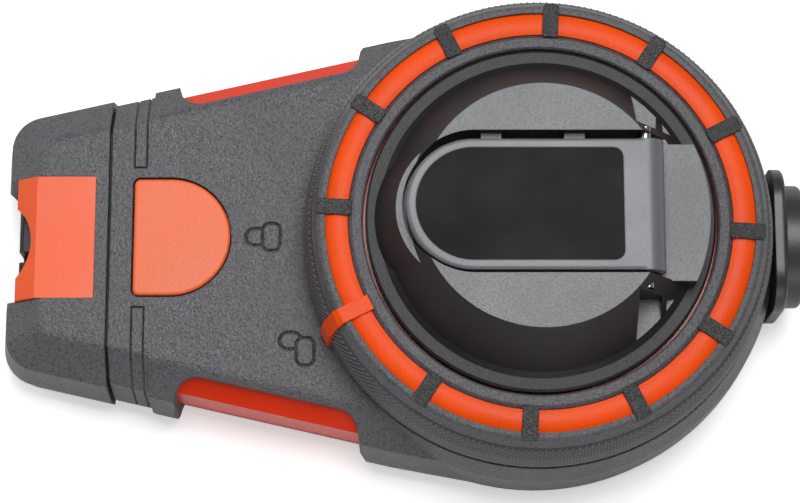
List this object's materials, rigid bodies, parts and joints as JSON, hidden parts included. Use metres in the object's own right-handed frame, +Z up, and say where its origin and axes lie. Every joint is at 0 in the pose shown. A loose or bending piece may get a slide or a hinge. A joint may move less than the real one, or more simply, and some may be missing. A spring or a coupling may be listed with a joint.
{
  "type": "chalk line reel",
  "caption": "Chalk line reel with flared two-shell grip body, push-button pull-off nose, line hook, knurled lock ring and geared crank whose arm folds flush into the hub.",
  "frame": {"origin": "drum axis at the resting back plane", "axes": "+Z up through the drum towards the crank, -X towards the mouth, +X towards the tail plug"},
  "size_m": [0.2098, 0.1266, 0.0665],
  "materials": {
    "tpe_grip": "pebbled soft-touch, satin",
    "tail_tpe": "pebbled soft-touch, satin",
    "orange_shell": "smooth moulded, satin",
    "orange_trim": "smooth moulded, satin",
    "orange_button": "fine grain, satin",
    "latch_plastic": "smooth",
    "hub_plastic": "gloss flank, fine-grained flats",
    "arm_plastic": "fine grain, satin",
    "label_gloss": "gloss film",
    "knob_plastic": "satin",
    "gear_plastic": "smooth acetal",
    "spool_plastic": "smooth",
    "line_cotton": "twisted cotton",
    "felt": "pressed wool felt",
    "seal_rubber": "smooth",
    "brake_pad": "moulded",
    "shoe_plastic": "smooth",
    "plug_plastic": "fine matte",
    "hook_steel": "black oxide",
    "steel": "machined",
    "spring_steel": "drawn wire",
    "eyelet_steel": "polished"
  },
  "bodies": {
    "housing": {"rear_core": "orange_shell", "front_core": "orange_shell", "rear_overmold": "tpe_grip", "front_overmold": "tpe_grip", "tail_socket": "tail_tpe", "ring_gear": "gear_plastic", "axle": "steel", "axle_screw": "steel", "axle_washer": "steel", "thrust_washer": "steel", "shaft_felt": "felt", "housing_screw_1": "steel", "housing_screw_2": "steel", "housing_screw_3": "steel", "housing_screw_4": "steel", "housing_screw_5": "steel", "housing_screw_6": "steel", "guide_pin": "steel", "line_run": "line_cotton", "button_spring": "spring_steel"},
    "crank": {"crank_hub": "hub_plastic", "hub_base": "hub_plastic", "planet_carrier": "gear_plastic", "planet_pin_1": "steel", "planet_pin_2": "steel", "planet_pin_3": "steel", "carrier_screw_1": "steel", "carrier_screw_2": "steel", "carrier_screw_3": "steel", "hinge_pin": "steel"},
    "arm": {"crank_arm": "arm_plastic", "arm_label": "label_gloss", "knob_pin": "steel"},
    "knob": {"crank_knob": "knob_plastic"},
    "planet_1": {"planet_gear_1": "gear_plastic"},
    "planet_2": {"planet_gear_2": "gear_plastic"},
    "planet_3": {"planet_gear_3": "gear_plastic"},
    "spool": {"spool": "spool_plastic", "sun_gear": "gear_plastic", "line_winding": "line_cotton"},
    "lock_ring": {"lock_ring": "tpe_grip", "ring_inlay": "orange_trim"},
    "lock_shoe": {"lock_shoe": "shoe_plastic", "shoe_pad": "brake_pad"},
    "button": {"release_button": "orange_button", "latch_catch": "latch_plastic"},
    "nose": {"nose_core": "orange_shell", "nose_overmold": "tpe_grip", "nose_seal": "seal_rubber", "felt_wiper_1": "felt", "felt_wiper_2": "felt", "line_eyelet": "eyelet_steel"},
    "hook": {"line_hook": "hook_steel", "line_crimp": "steel", "line_lead": "line_cotton"},
    "plug": {"tail_plug": "plug_plastic", "plug_seal": "seal_rubber"}
  },
  "joints": [
    {"name": "crank_spin", "type": "hinge", "parent": "housing", "child": "crank", "pos_m": [0, 0, 0.042], "axis": [0, 0, 1], "continuous": true},
    {"name": "arm_fold", "type": "hinge", "parent": "crank", "child": "arm", "pos_m": [0.0255, 0, 0.062], "axis": [0, 1, 0], "range_deg": [0, 180]},
    {"name": "knob_spin", "type": "hinge", "parent": "arm", "child": "knob", "pos_m": [-0.0173, 0, 0.05], "axis": [0, 0, 1], "continuous": true},
    {"name": "spool_spin", "type": "hinge", "parent": "housing", "child": "spool", "pos_m": [0, 0, 0.0145], "axis": [0, 0, 1], "continuous": true},
    {"name": "planet_1_spin", "type": "hinge", "parent": "crank", "child": "planet_1", "pos_m": [0.009, 0.01559, 0.0345], "axis": [0, 0, 1], "continuous": true},
    {"name": "planet_2_spin", "type": "hinge", "parent": "crank", "child": "planet_2", "pos_m": [-0.018, 0, 0.0345], "axis": [0, 0, 1], "continuous": true},
    {"name": "planet_3_spin", "type": "hinge", "parent": "crank", "child": "planet_3", "pos_m": [0.009, -0.01559, 0.0345], "axis": [0, 0, 1], "continuous": true},
    {"name": "lock_ring_turn", "type": "hinge", "parent": "housing", "child": "lock_ring", "pos_m": [0, 0, 0.04], "axis": [0, 0, 1], "range_deg": [-25.5, 0]},
    {"name": "lock_shoe_slide", "type": "slide", "parent": "housing", "child": "lock_shoe", "axis": [0.866, -0.5, 0], "range_m": [0, 0.0018]},
    {"name": "release_button_press", "type": "slide", "parent": "housing", "child": "button", "axis": [0, 0, -1], "range_m": [0, 0.0022], "stiffness_N_per_m": 700, "springref_m": -0.001, "deforming": ["button_spring"]},
    {"name": "nose_pull_off", "type": "slide", "parent": "housing", "child": "nose", "axis": [-1, 0, 0], "range_m": [0, 0.032]},
    {"name": "hook_pull", "type": "slide", "parent": "nose", "child": "hook", "axis": [-1, 0, 0], "range_m": [0, 0.06]},
    {"name": "tail_plug_pull", "type": "slide", "parent": "housing", "child": "plug", "axis": [1, 0, 0], "range_m": [0, 0.014]}
  ],
  "couplings": [
    {"joint": "spool_spin", "follows": "crank_spin", "ratio": 6},
    {"joint": "planet_1_spin", "follows": "crank_spin", "ratio": -2.5},
    {"joint": "planet_2_spin", "follows": "crank_spin", "ratio": -2.5},
    {"joint": "planet_3_spin", "follows": "crank_spin", "ratio": -2.5},
    {"joint": "lock_shoe_slide", "follows": "lock_ring_turn", "m_per_rad": -0.00404}
  ]
}
